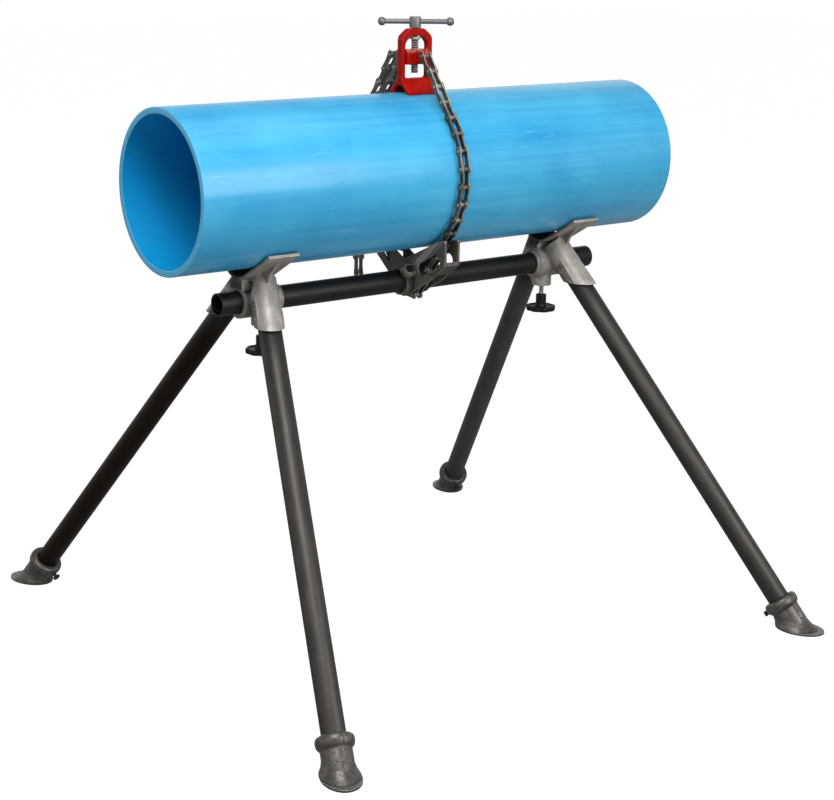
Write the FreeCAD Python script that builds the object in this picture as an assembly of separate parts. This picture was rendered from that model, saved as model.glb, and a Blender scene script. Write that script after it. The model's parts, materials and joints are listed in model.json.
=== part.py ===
# Four-legged pipe stand with a top-screw chain vise, all solids in millimetres.
# +Z is up, the rail runs along X, and the origin is on the floor midway between the feet.
import FreeCAD
import Part
import math
import os

V = FreeCAD.Vector
X_AXIS = V(1, 0, 0)
Z_AXIS = V(0, 0, 1)

# Main sizes
PIPE_R = 167.65
PIPE_WALL = 13.4
PIPE_Z = 1000.0
PIPE_HALF = 620.0
TUBE_R = 24.15
TUBE_WALL = 3.68
RAIL_Z = 760.0
RAIL_LEFT = -493.5
RAIL_RIGHT = 521.5
CLEAR = 0.3
BORE_R = TUBE_R + 0.08

# Legs: each tube axis starts beside the rail and leans outwards to the floor
LEG_ROOT = (413.0, 59.3, RAIL_Z)
LEG_LEAN = (0.2183, 0.5879, -0.7789)
LEG_START = -5.4
LEG_END = 944.0
FLOOR_REACH = 975.8

# Feet
FOOT_TOP = 896.0
FOOT_NECK_R = 31.0
BEAD_R = 37.5
SOLE_LONG = 56.0
SOLE_WIDE = 39.5
SOLE_THICK = 5.0
SOLE_AHEAD = 4.0
FOOT_SCREW_AT = 912.0
FOOT_SCREW_R = 4.5
FOOT_SCREW_SEAT = 43.0
FOOT_SCREW_REACH = 49.5

# Heads
SADDLE_SLOPE = math.tan(math.radians(30))
SADDLE_TIP = 120.0
SADDLE_THICK = 7.0
SADDLE_BEND = 55.0
SADDLE_IN = 370.0
HEAD_IN = 348.0
HEAD_OUT = 446.0
HUB_R = 34.0
HUB_LIP = 6.0
HUB_LIP_R = 29.5
NECK_HALF = 19.5
RIB_HALF = 8.5
WEB_X = 403.0
WEB_THICK = 8.0
SOCKET_R = 29.5
MOUTH_Z = 722.0
CLAMP_X = 386.0
BOSS_R = 22.0
BOSS_LOW = 706.0
STUD_R = 5.5
STUD_LOW = 684.0
KNOB_R = 34.5
KNOB_LOW = 645.5
KNOB_TOP = 657.0
KNOB_HUB_R = 12.0
KNOB_LOBES = 8

# Vise
VISE_X = 4.5
ANCHOR_PLATE = 6.0
ANCHOR_GAP_HALF = 14.5
ANCHOR_HUB_R = 31.0
ANCHOR_LEFT = 36.5
ANCHOR_RIGHT = 32.5
ANCHOR_BOSS_R = 15.0
ANCHOR_SCREW_R = 5.5
ANCHOR_SCREW_RISE = 43.0
ANCHOR_SCREW_BACK = 30.0
ANCHOR_SEAT = 43.0
WINDOW_SLANT = math.radians(27.5)
WINDOW_REACH = 26.5
WINDOW_R = 14.5
YOKE_HALF = 40.5
YOKE_DEPTH = 8.5
YOKE_TOP = 1302.0
WINDOW_HALF = 30.5
WINDOW_TOP = 1286.0
WINDOW_BOTTOM = 1198.0
NUT_LOW = 1227.0
NUT_HIGH = 1258.0
NUT_DEPTH = 14.0
THREAD_LOW = 1208.5
COLLAR_LOW = 1279.0
COLLAR_R = 11.5
HANDLE_HUB_LOW = 1303.0
HANDLE_HUB_TOP = 1328.0
HANDLE_HUB_R = 12.5
SPINDLE_R = 8.3
NECK_R = 5.5
HANDLE_Z = 1316.0
HANDLE_HALF = 73.0
HANDLE_SHIFT = 2.0
HANDLE_R = 5.25
BALL_R = 9.0
BALL_BACK = 7.3

# Chain
PITCH = 38.1
LOOP_R = 178.5
TAIL_R = 199.5
BOTTOM_PIN_Z = 728.9
LEAVE_ANGLE = 127.15
LINK_END = 9.5
LINK_WAIST = 6.0
INNER_FACE = 5.2
PLATE_JOIN = 8.0
OUTER_FACE = 10.8
PIN_R = 3.4
BARREL_R = 4.9


def side(x):
    return lambda u, v: V(x, u, v)


def front(y):
    return lambda u, v: V(u, y, v)


def plan(z):
    return lambda u, v: V(u, v, z)


def outline(corners, place):
    """Closed wire through (u, v, radius) corners, each eased by a tangent arc of its radius."""
    starts, ends, edges = [], [], []
    count = len(corners)
    for i, (u, v, radius) in enumerate(corners):
        here = V(u, v, 0)
        before = V(corners[i - 1][0] - u, corners[i - 1][1] - v, 0).normalize()
        after = V(corners[(i + 1) % count][0] - u, corners[(i + 1) % count][1] - v, 0).normalize()
        half = before.getAngle(after) / 2
        reach = radius / math.tan(half)
        begin = here + before * reach
        finish = here + after * reach
        starts.append(place(begin.x, begin.y))
        ends.append(place(finish.x, finish.y))
        if radius > 0:
            inward = (before + after).normalize()
            middle = here + inward * (radius / math.sin(half) - radius)
            edges.append(Part.Arc(starts[-1], place(middle.x, middle.y), ends[-1]).toShape())
    for i in range(count):
        begin, finish = ends[i], starts[(i + 1) % count]
        if begin.distanceToPoint(finish) > 1e-6:
            edges.append(Part.makeLine(begin, finish))
    return Part.Wire(Part.__sortEdges__(edges))


def slab(corners, place, depth):
    return Part.Face(outline(corners, place)).extrude(depth)


def rod(radius, start, end):
    return Part.makeCylinder(radius, start.distanceToPoint(end), start, end - start)


def tube(outer, inner, start, end):
    return rod(outer, start, end).cut(rod(inner, start, end))


def turned(profile, base, axis):
    """Solid of revolution about axis from (radius, distance along, edge radius) corners."""
    face = Part.Face(outline(profile, front(0)))
    solid = face.revolve(V(0, 0, 0), Z_AXIS, 360)
    solid.Placement = FreeCAD.Placement(base, FreeCAD.Rotation(Z_AXIS, axis))
    return solid


def prism(sides, radius, start, end, turn=0.0):
    """Regular prism with its corners on radius, from start to end."""
    points = []
    for i in range(sides + 1):
        angle = 2 * math.pi * i / sides + turn
        points.append(V(radius * math.cos(angle), radius * math.sin(angle), 0))
    length = start.distanceToPoint(end)
    solid = Part.Face(Part.makePolygon(points)).extrude(V(0, 0, length))
    solid.Placement = FreeCAD.Placement(start, FreeCAD.Rotation(Z_AXIS, end - start))
    return solid


def block(x0, x1, y0, y1, z0, z1):
    return Part.makeBox(x1 - x0, y1 - y0, z1 - z0, V(x0, y0, z0))


def joined(first, *others):
    return first.multiFuse(list(others)).removeSplitter()


def both_sides(points):
    """Outline symmetric about u = 0 from its corners with positive u."""
    return points + [(-u, v, radius) for u, v, radius in reversed(points)]


def save(name, *solids):
    shape = solids[0] if len(solids) == 1 else Part.makeCompound(list(solids))
    shape.exportStep(os.path.join("parts", name + ".step"))


# Pipe and rail

def make_pipe():
    return tube(PIPE_R, PIPE_R - PIPE_WALL, V(-PIPE_HALF, 0, PIPE_Z), V(PIPE_HALF, 0, PIPE_Z))


def make_rail():
    return tube(TUBE_R, TUBE_R - TUBE_WALL, V(RAIL_LEFT, 0, RAIL_Z), V(RAIL_RIGHT, 0, RAIL_Z))


# Legs and feet

def leg_axis(sx, sy):
    root = V(LEG_ROOT[0] * sx, LEG_ROOT[1] * sy, LEG_ROOT[2])
    lean = V(LEG_LEAN[0] * sx, LEG_LEAN[1] * sy, LEG_LEAN[2]).normalize()
    return root, lean


def make_leg(sx, sy):
    root, lean = leg_axis(sx, sy)
    return tube(TUBE_R, TUBE_R - TUBE_WALL, root + lean * LEG_START, root + lean * LEG_END)


def sole_oval(sx, sy, long, wide, ahead, z):
    """Oval wire level with the floor, its long axis pointing the way the leg leans."""
    root, lean = leg_axis(sx, sy)
    outward = V(lean.x, lean.y, 0).normalize()
    centre = root + lean * FLOOR_REACH + outward * ahead
    centre = V(centre.x, centre.y, z)
    sideways = V(-outward.y, outward.x, 0)
    oval = Part.Ellipse(centre + outward * long, centre + sideways * wide, centre)
    return Part.Wire(oval.toShape())


def make_foot(sx, sy):
    """Cast shoe: a beaded socket on the leg's end that spreads into a flat oval sole."""
    root, lean = leg_axis(sx, sy)
    bead = [
        (BORE_R, FOOT_TOP, 0),
        (BEAD_R - 4.5, FOOT_TOP, 0),
        (BEAD_R, FOOT_TOP + 6, 0),
        (BEAD_R, FOOT_TOP + 18, 0),
        (FOOT_NECK_R, FOOT_TOP + 26, 0),
        (BORE_R, FOOT_TOP + 26, 0),
    ]
    floor = block(-900, 900, -900, 900, -90, 0)
    neck = rod(FOOT_NECK_R, root + lean * (FOOT_TOP + 20), root + lean * 1010).cut(floor)
    sole = Part.Face(sole_oval(sx, sy, SOLE_LONG, SOLE_WIDE, SOLE_AHEAD, 0)).extrude(V(0, 0, SOLE_THICK))
    slant = math.hypot(lean.x, lean.y) / -lean.z
    neck_long = FOOT_NECK_R / -lean.z
    spread = []
    for z, grown in ((SOLE_THICK - 1, 9.5), (13.0, 3.5), (25.0, -0.4)):
        spread.append(sole_oval(sx, sy, neck_long + grown, FOOT_NECK_R + grown, -z * slant, z))
    body = joined(neck, turned(bead, root, lean), sole, Part.makeLoft(spread, True, True))
    body = body.cut(rod(BORE_R, root + lean * (FOOT_TOP - 10), root + lean * (LEG_END + 1)))
    start, end = screw_line(sx, sy, TUBE_R - 3, FOOT_SCREW_REACH + 10)
    return body.cut(prism(8, FOOT_SCREW_R + 0.1, start, end))


def screw_line(sx, sy, inner, outer):
    """Ends of a line that leaves the leg axis square to it, inwards and downwards."""
    root, lean = leg_axis(sx, sy)
    outward = V(lean.x, lean.y, 0).normalize()
    away = V(outward.x * lean.z, outward.y * lean.z, -math.hypot(lean.x, lean.y))
    base = root + lean * FOOT_SCREW_AT
    return base + away * inner, base + away * outer


def make_foot_screw(sx, sy):
    start, seat = screw_line(sx, sy, TUBE_R + 0.1, FOOT_SCREW_SEAT)
    tip = screw_line(sx, sy, 0, FOOT_SCREW_REACH)[1]
    return joined(prism(8, FOOT_SCREW_R, start, seat), prism(4, 8.2, seat, tip, math.pi / 4))


# Pipe heads: V saddle, rail hub, two leg sockets and a clamp boss in one casting

def saddle_top(y):
    apex = PIPE_Z - (PIPE_R + CLEAR) / math.cos(math.radians(30))
    return apex + abs(y) * SADDLE_SLOPE


def saddle_under(y):
    return saddle_top(y) - SADDLE_THICK / math.cos(math.radians(30))


def make_saddle():
    """Vee plate with a rounded valley; both wings end square with eased corners."""
    low_tip = saddle_top(SADDLE_TIP) - SADDLE_THICK * math.cos(math.radians(30))
    half = [
        (SADDLE_TIP, saddle_top(SADDLE_TIP), 0),
        (SADDLE_TIP + SADDLE_THICK / 2, low_tip, 0),
    ]
    vee = half + [(0, saddle_under(0), SADDLE_BEND + SADDLE_THICK)]
    vee += [(-u, v, radius) for u, v, radius in reversed(half)]
    vee.append((0, saddle_top(0), SADDLE_BEND))
    tip = SADDLE_TIP + 5
    wings = [(SADDLE_IN, -tip, 8), (HEAD_OUT, -tip, 8), (HEAD_OUT, tip, 8), (SADDLE_IN, tip, 8)]
    length = V(HEAD_OUT - SADDLE_IN, 0, 0)
    return slab(vee, side(SADDLE_IN), length).common(slab(wings, plan(790), V(0, 0, 100)))


def make_web(sy):
    """Cross web between the hub, one wing and the leg socket of that side."""
    edge = [
        (28, 738, 0),
        (45, 736, 6),
        (62, MOUTH_Z, 6),
        (80, MOUTH_Z, 0),
        (88, 745, 0),
        (60, 800, 0),
        (70, 826, 30),
        (108, saddle_under(108) + 2, 0),
        (45, saddle_under(45) + 2, 0),
        (15, 806, 0),
    ]
    return slab([(u * sy, v, radius) for u, v, radius in edge], side(WEB_X), V(WEB_THICK, 0, 0))


def make_head():
    lip = rod(HUB_LIP_R, V(HEAD_IN, 0, RAIL_Z), V(HEAD_OUT, 0, RAIL_Z))
    hub = rod(HUB_R, V(HEAD_IN + HUB_LIP, 0, RAIL_Z), V(HEAD_OUT, 0, RAIL_Z))
    neck = block(WEB_X, HEAD_OUT, -NECK_HALF, NECK_HALF, RAIL_Z + BORE_R, 812)
    thick = V(0, 2 * RIB_HALF, 0)
    rib = [(362, 786, 0), (362, 800, 0), (371, 811, 0), (WEB_X + 1, 811, 0), (WEB_X + 1, 786, 0)]
    rib = slab(rib, front(-RIB_HALF), thick)
    low, inner, outer = BOSS_LOW + 2, HEAD_IN + 7, CLAMP_X - 8
    gusset = [(inner, 732, 0), (outer - BOSS_R + 9, low, 0), (outer, low, 0), (outer, 732, 0)]
    gusset = slab(gusset, front(-RIB_HALF), thick)
    boss = rod(BOSS_R, V(CLAMP_X, 0, BOSS_LOW), V(CLAMP_X, 0, RAIL_Z))
    pieces = [lip, make_saddle(), neck, rib, gusset, boss]
    cutters = [rod(BORE_R, V(HEAD_IN - 5, 0, RAIL_Z), V(HEAD_OUT + 5, 0, RAIL_Z))]
    cutters.append(rod(STUD_R + 0.1, V(CLAMP_X, 0, BOSS_LOW - 6), V(CLAMP_X, 0, RAIL_Z)))
    for sy in (-1, 1):
        root, lean = leg_axis(1, sy)
        below = block(330, 560, -200, 200, MOUTH_Z - 80, MOUTH_Z)
        pieces.append(rod(SOCKET_R, root - lean * 60, root + lean * 78).cut(below))
        pieces.append(make_web(sy))
        cutters.append(rod(BORE_R, root + lean * (LEG_START - 0.6), root + lean * 90))
        pocket = [(21 * sy, 784, 6), (39 * sy, 784, 6), (39 * sy, 807, 6), (21 * sy, 807, 6)]
        cutters.append(slab(pocket, side(424), V(30, 0, 0)))
    casting = joined(hub, *pieces)
    for cutter in cutters:
        casting = casting.cut(cutter)
    return casting


# Clamp knobs under the heads

def make_clamp_knob():
    rim = []
    for i in range(KNOB_LOBES):
        for offset, radius in ((-0.3, KNOB_R), (0.3, KNOB_R), (0.5, KNOB_R - 3)):
            angle = 2 * math.pi * (i + offset) / KNOB_LOBES
            rim.append((CLAMP_X + radius * math.cos(angle), radius * math.sin(angle), 0))
    disc = slab(rim, plan(KNOB_LOW), V(0, 0, KNOB_TOP - KNOB_LOW))
    return joined(disc, rod(KNOB_HUB_R, V(CLAMP_X, 0, KNOB_TOP), V(CLAMP_X, 0, STUD_LOW - CLEAR)))


def make_clamp_stud():
    return rod(STUD_R, V(CLAMP_X, 0, STUD_LOW), V(CLAMP_X, 0, RAIL_Z - TUBE_R - CLEAR))


# Vise anchor: twin-plate casting that rides on the rail and guides the chain

def make_anchor():
    arms = [
        (-3, 809, 0),
        (-117, 862, 0),
        (-143, 868, 4),
        (-143, 813, 12),
        (-95, 775, 30),
        (-30, 738, 0),
        (-14, 729, 0),
        (14, 729, 0),
        (32, 742, 0),
        (58, 769, 0),
        (102, 803, 0),
        (118, 815, 0),
        (118, 850, 0),
        (92, 850, 0),
        (9, 809, 0),
    ]
    near = VISE_X - ANCHOR_GAP_HALF - ANCHOR_PLATE
    far = VISE_X + ANCHOR_GAP_HALF
    across = V(far + ANCHOR_PLATE - near, 0, 0)
    plates = [slab(arms, side(x), V(ANCHOR_PLATE, 0, 0)) for x in (near, far)]
    hubs = [
        rod(ANCHOR_HUB_R, V(VISE_X - ANCHOR_LEFT, 0, RAIL_Z), V(near + ANCHOR_PLATE, 0, RAIL_Z)),
        rod(ANCHOR_HUB_R, V(far, 0, RAIL_Z), V(VISE_X + ANCHOR_RIGHT, 0, RAIL_Z)),
    ]
    saddle = rod(ANCHOR_HUB_R, V(near, 0, RAIL_Z), V(near, 0, RAIL_Z) + across)
    saddle = saddle.common(block(near, far + ANCHOR_PLATE, -40, 40, 770, 800))
    sill = slab([(-143, 813, 0), (-139, 820, 0), (-111, 797, 0), (-113, 788, 0)], side(near), across)
    base, aim = anchor_screw_line()
    boss = rod(ANCHOR_BOSS_R, base + aim * 26, base + aim * (ANCHOR_SEAT + 4))
    body = joined(*plates, *hubs, saddle, sill, boss)
    cutters = [
        make_window(),
        slab([(54, 790, 0), (82, 812, 0), (52, 812, 0)], side(VISE_X - 60), V(120, 0, 0)),
        rod(BORE_R, V(VISE_X - 60, 0, RAIL_Z), V(VISE_X + 60, 0, RAIL_Z)),
        rod(ANCHOR_SCREW_R + 0.1, base, base + aim * 60),
        rod(ANCHOR_BOSS_R - 4, base + aim * ANCHOR_SEAT, base + aim * 60),
    ]
    for cutter in cutters:
        body = body.cut(cutter)
    return body


def make_window():
    """Obround cutter through both plates, lying along the front arm."""
    along = V(0, -math.cos(WINDOW_SLANT), math.sin(WINDOW_SLANT))
    square = X_AXIS.cross(along)
    middle = V(0, -86.5, 806)
    span = V(120, 0, 0)
    start = V(VISE_X - 60, 0, 0)
    centres = [middle + along * (WINDOW_REACH * sign) + start for sign in (-1, 1)]
    corners = [(centres[0], -1), (centres[1], -1), (centres[1], 1), (centres[0], 1)]
    corners = [centre + square * (WINDOW_R * sign) for centre, sign in corners]
    straight = slab([(p.y, p.z, 0) for p in corners], side(start.x), span)
    return joined(straight, *[rod(WINDOW_R, centre, centre + span) for centre in centres])


def anchor_screw_line():
    """Point on the rail's axis and direction of the set screw in the anchor's boss."""
    rise = math.radians(ANCHOR_SCREW_RISE)
    return V(VISE_X - ANCHOR_SCREW_BACK, 0, RAIL_Z), V(0, -math.cos(rise), math.sin(rise))


def make_anchor_screw():
    base, aim = anchor_screw_line()
    seat = base + aim * (ANCHOR_SEAT + CLEAR)
    shank = prism(8, ANCHOR_SCREW_R, base + aim * (TUBE_R + CLEAR), seat)
    return joined(shank, prism(4, 8.5, seat, base + aim * 51, math.pi / 4))


# Yoke, nut block and screw

def make_yoke():
    face = [(YOKE_HALF, 1150, 0), (YOKE_HALF, 1285, 16), (19, YOKE_TOP, 14)]
    frame = slab([(VISE_X + u, v, r) for u, v, r in both_sides(face)], front(-45), V(0, 90, 0))
    reach = PIPE_R + CLEAR
    toe_z = PIPE_Z + math.sqrt(reach**2 - 34**2)
    heel_z = PIPE_Z + math.sqrt(reach**2 - 21**2)
    stance = [
        (YOKE_DEPTH, YOKE_TOP + 5, 0),
        (YOKE_DEPTH, 1196, 16),
        (34, toe_z + 7, 3),
        (34, toe_z - 4, 0),
        (21, heel_z - 6, 0),
        (19, heel_z + 6, 10),
        (8, 1183, 8),
    ]
    depth = slab(both_sides(stance), side(VISE_X - 50), V(100, 0, 0))
    window = [(WINDOW_HALF, WINDOW_BOTTOM, 5), (WINDOW_HALF, 1272, 14), (16, WINDOW_TOP, 14)]
    opening = slab([(VISE_X + u, v, r) for u, v, r in both_sides(window)], front(-45), V(0, 90, 0))
    body = frame.common(depth).cut(opening)
    body = body.cut(rod(NECK_R + 0.1, V(VISE_X, 0, 1280), V(VISE_X, 0, 1310)))
    pipe = rod(reach, V(VISE_X - 60, 0, PIPE_Z), V(VISE_X + 60, 0, PIPE_Z))
    return body.cut(pipe)


def make_nut_block(front_pin, rear_pin):
    """Nut with a lug for the chain's first pin in front and an open hook for its other end."""
    half = WINDOW_HALF - 0.5
    base = [(half, -NUT_DEPTH, 3), (half, NUT_DEPTH, 3), (-half, NUT_DEPTH, 3), (-half, -NUT_DEPTH, 3)]
    nut = slab([(VISE_X + u, v, radius) for u, v, radius in base], plan(NUT_LOW), V(0, 0, NUT_HIGH - NUT_LOW))
    lug_half = PLATE_JOIN - 0.5
    y, z = front_pin.y, front_pin.z
    lug = [(2 - NUT_DEPTH, NUT_LOW, 0), (y, z - 9, 9), (y - 9, z + 9, 9), (2 - NUT_DEPTH, NUT_HIGH - 2, 0)]
    lug = slab(lug, side(VISE_X - lug_half), V(2 * lug_half, 0, 0))
    hook_half = INNER_FACE - 0.3
    seat = BARREL_R + 0.3
    y, z = rear_pin.y, rear_pin.z
    hook = [
        (NUT_DEPTH - 2, NUT_LOW + 3, 0),
        (y + 4, z - 13, 6),
        (y + 10, z + 6, 2),
        (y + seat, z + 6, 0),
        (y + seat, z, 0),
        (y - seat, z, 0),
        (y - seat, z + 6, 2),
        (NUT_DEPTH - 2, NUT_HIGH - 2, 0),
    ]
    hook = slab(hook, side(VISE_X - hook_half), V(2 * hook_half, 0, 0))
    body = joined(nut, lug, hook)
    ahead = V(30, 0, 0)
    cutters = [
        rod(SPINDLE_R + 0.1, V(VISE_X, 0, NUT_LOW - 5), V(VISE_X, 0, NUT_HIGH + 5)),
        rod(PIN_R + 0.05, front_pin - ahead, front_pin + ahead),
        rod(seat, rear_pin - ahead, rear_pin + ahead),
    ]
    for cutter in cutters:
        body = body.cut(cutter)
    return body


def make_spindle():
    profile = [
        (0, THREAD_LOW, 0),
        (SPINDLE_R, THREAD_LOW, 0),
        (SPINDLE_R, COLLAR_LOW, 0),
        (COLLAR_R, COLLAR_LOW, 0),
        (COLLAR_R, COLLAR_LOW + 5, 0),
        (NECK_R, COLLAR_LOW + 5, 0),
        (NECK_R, HANDLE_HUB_LOW, 0),
        (HANDLE_HUB_R, HANDLE_HUB_LOW, 0),
        (HANDLE_HUB_R, HANDLE_HUB_TOP, 0),
        (0, HANDLE_HUB_TOP, 0),
    ]
    body = turned(profile, V(VISE_X, 0, 0), Z_AXIS)
    along = handle_axis() * 30
    centre = V(VISE_X, 0, HANDLE_Z)
    return body.cut(rod(HANDLE_R + 0.05, centre - along, centre + along))


def handle_axis():
    return V(math.cos(math.radians(30)), -math.sin(math.radians(30)), 0)


def handle_middle():
    return V(VISE_X, 0, HANDLE_Z) + handle_axis() * HANDLE_SHIFT


def make_handle_ends():
    profile = [
        (0, -BALL_BACK, 0),
        (5.8, -BALL_BACK, 0),
        (BALL_R, -3.4, 0),
        (BALL_R, 3.4, 0),
        (5.2, 8.2, 0),
        (0, 8.2, 0),
    ]
    balls = []
    for sign in (-1, 1):
        along = handle_axis() * sign
        balls.append(turned(profile, handle_middle() + along * HANDLE_HALF, along))
    return balls


def make_handle_bar():
    reach = handle_axis() * (HANDLE_HALF - BALL_BACK - 0.1)
    return rod(HANDLE_R, handle_middle() - reach, handle_middle() + reach)


# Chain path: pins one pitch apart along straights tangent to a circle round the pipe

def run_point(run, distance):
    """Point of a straight-arc-straight run; distance is measured from its first point."""
    start, radius, first_angle, last_angle = run
    on = V(0, radius * math.sin(first_angle), PIPE_Z + radius * math.cos(first_angle))
    lead = start.distanceToPoint(on)
    arc = radius * abs(last_angle - first_angle)
    turn = math.copysign(1, last_angle - first_angle)
    if distance < lead:
        return start + (on - start) * (distance / lead)
    angle = first_angle + turn * min(distance - lead, arc) / radius
    point = V(0, radius * math.sin(angle), PIPE_Z + radius * math.cos(angle))
    heading = V(0, math.cos(angle), -math.sin(angle)) * turn
    return point + heading * max(distance - lead - arc, 0)


def pins_along(run, count):
    pins, distance = [run[0]], 0.0
    for _ in range(count):
        low, high = distance + 0.9 * PITCH, distance + 1.2 * PITCH
        for _ in range(60):
            middle = (low + high) / 2
            if run_point(run, middle).distanceToPoint(pins[-1]) < PITCH:
                low = middle
            else:
                high = middle
        distance = high
        pins.append(run_point(run, distance))
    return pins


def tangent_angle(point, radius, turn):
    """Angle from straight up, towards +Y, where the line from point touches the circle."""
    out = math.hypot(point.y, point.z - PIPE_Z)
    return math.atan2(point.y, point.z - PIPE_Z) + turn * math.acos(radius / out)


def make_paths():
    bottom = V(0, PITCH / 2, BOTTOM_PIN_Z)
    touch = tangent_angle(bottom, LOOP_R, -1)
    leave = math.pi - math.radians(LEAVE_ANGLE)
    rear = pins_along((bottom, LOOP_R, touch, leave), 16)
    front_pins = [V(0, -p.y, p.z) for p in rear]
    loop = list(reversed(front_pins)) + rear
    hook = rear[-1]
    bend = math.radians(-7)
    crest = hook + V(0, math.cos(bend), math.sin(bend)) * PITCH
    tail = [hook] + pins_along((crest, TAIL_R, tangent_angle(crest, TAIL_R, 1), math.pi / 2), 14)
    shift = V(VISE_X, 0, 0)
    return [p + shift for p in loop], [p + shift for p in tail]


def link_plate(start, end, inner, outer, eye_ends=()):
    """Waisted plate between two pin centres, spanning inner..outer from the chain's middle plane."""
    along = (end - start).normalize()
    up = X_AXIS.cross(along)
    points = []
    for centre, heading in ((start, along * -1), (end, along)):
        across = up if centre is start else up * -1
        for angle in (-90, -30, 30, 90):
            a = math.radians(angle)
            points.append(centre + heading * (LINK_END * math.cos(a)) - across * (LINK_END * math.sin(a)))
        points.append((start + end) * 0.5 + (across * -LINK_WAIST))
    rim = [p + X_AXIS * inner for p in points + points[:1]]
    plate = Part.Face(Part.makePolygon(rim)).extrude(X_AXIS * (outer - inner))
    for eye in eye_ends:
        plate = plate.cut(rod(PIN_R + 0.07, eye + X_AXIS * (inner - 1), eye + X_AXIS * (outer + 1)))
    return plate


def outer_link(start, end, pin=None):
    plates = [
        link_plate(start, end, PLATE_JOIN, OUTER_FACE),
        link_plate(start, end, -OUTER_FACE, -PLATE_JOIN),
    ]
    if pin is None:
        return plates
    return [joined(rod(PIN_R, pin - X_AXIS * (OUTER_FACE + 1), pin + X_AXIS * (OUTER_FACE + 1)), *plates)]


def inner_link(start, end, eyes=()):
    """Two plates held apart by barrels; an end listed in eyes keeps a running gap and a through hole."""
    top = PLATE_JOIN - CLEAR if eyes else PLATE_JOIN
    pieces = [
        link_plate(start, end, INNER_FACE, top, eyes),
        link_plate(start, end, -top, -INNER_FACE, eyes),
    ]
    reach = X_AXIS * INNER_FACE
    for centre in (start, end):
        if centre in eyes:
            pieces.append(tube(BARREL_R, PIN_R + 0.07, centre - reach, centre + reach))
        else:
            pieces.append(prism(6, BARREL_R, centre - reach, centre + reach))
    return [joined(*pieces)]


def main():
    os.makedirs("parts", exist_ok=True)
    save("work_pipe", make_pipe())
    save("rail", make_rail())
    for end, sx in (("left", -1), ("right", 1)):
        save(f"legs_{end}", *[make_leg(sx, sy) for sy in (-1, 1)])
        save(f"feet_{end}", *[make_foot(sx, sy) for sy in (-1, 1)])
        save(f"foot_screws_{end}", *[make_foot_screw(sx, sy) for sy in (-1, 1)])
    right_parts = {
        "head": make_head(),
        "clamp_knob": make_clamp_knob(),
        "clamp_stud": make_clamp_stud(),
    }
    for name, shape in right_parts.items():
        save(f"{name}_right", shape)
        save(f"{name}_left", shape.mirror(V(0, 0, 0), X_AXIS))

    loop, tail = make_paths()
    save("anchor_casting", make_anchor())
    save("anchor_screw", make_anchor_screw())
    save("yoke", make_yoke())
    save("nut_block", make_nut_block(loop[0], loop[-1]))
    save("spindle", make_spindle())
    save("tee_bar", make_handle_bar())
    save("tee_bar_ends", *make_handle_ends())

    outer, inner = [], []
    for i in range(len(loop) - 1):
        if i % 2 == 0:
            outer += outer_link(loop[i], loop[i + 1], loop[0] if i == 0 else None)
        else:
            inner += inner_link(loop[i], loop[i + 1])
    save("chain_outer_links", *outer)
    save("chain_inner_links", *inner)

    swivels = {"upper": (8, 11), "lower": (11, 15)}
    hinge_pins = [tail[first] for first, _ in swivels.values()]
    fixed_outer, fixed_inner = [], []
    for i in range(8):
        if i % 2 == 0:
            fixed_inner += inner_link(tail[i], tail[i + 1])
        else:
            fixed_outer += outer_link(tail[i], tail[i + 1], tail[8] if i == 7 else None)
    save("tail_outer_links", *fixed_outer)
    save("tail_inner_links", *fixed_inner)
    for name, (first, last) in swivels.items():
        links = []
        for i in range(first, last):
            if i % 2 == 0:
                eyes = [p for p in (tail[i], tail[i + 1]) if p in hinge_pins]
                links += inner_link(tail[i], tail[i + 1], eyes)
            else:
                links += outer_link(tail[i], tail[i + 1], tail[i] if tail[i] in hinge_pins else None)
        save(f"tail_strand_{name}", *links)


main()
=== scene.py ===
import bmesh
import bpy
import json
import math
from mathutils import Matrix, Vector, noise

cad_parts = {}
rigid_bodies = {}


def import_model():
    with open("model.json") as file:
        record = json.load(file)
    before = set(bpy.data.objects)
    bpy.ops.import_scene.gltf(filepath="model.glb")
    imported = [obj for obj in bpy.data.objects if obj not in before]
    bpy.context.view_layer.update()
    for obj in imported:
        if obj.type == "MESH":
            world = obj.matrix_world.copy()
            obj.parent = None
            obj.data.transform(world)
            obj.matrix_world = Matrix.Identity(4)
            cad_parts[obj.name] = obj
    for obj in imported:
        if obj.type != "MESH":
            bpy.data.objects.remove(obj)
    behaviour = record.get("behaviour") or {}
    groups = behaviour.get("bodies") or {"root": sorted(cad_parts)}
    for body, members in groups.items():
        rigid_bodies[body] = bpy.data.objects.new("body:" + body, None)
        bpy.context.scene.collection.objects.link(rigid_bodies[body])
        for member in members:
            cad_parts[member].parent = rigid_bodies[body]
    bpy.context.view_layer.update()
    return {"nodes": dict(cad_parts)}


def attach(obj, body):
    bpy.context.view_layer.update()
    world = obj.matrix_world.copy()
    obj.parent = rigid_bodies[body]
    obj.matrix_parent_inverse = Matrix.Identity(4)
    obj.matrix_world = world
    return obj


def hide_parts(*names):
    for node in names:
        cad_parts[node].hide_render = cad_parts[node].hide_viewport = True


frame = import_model()
mm = 0.001


# Node graphs: the same two classes write the shaders and the geometry recipes

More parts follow.
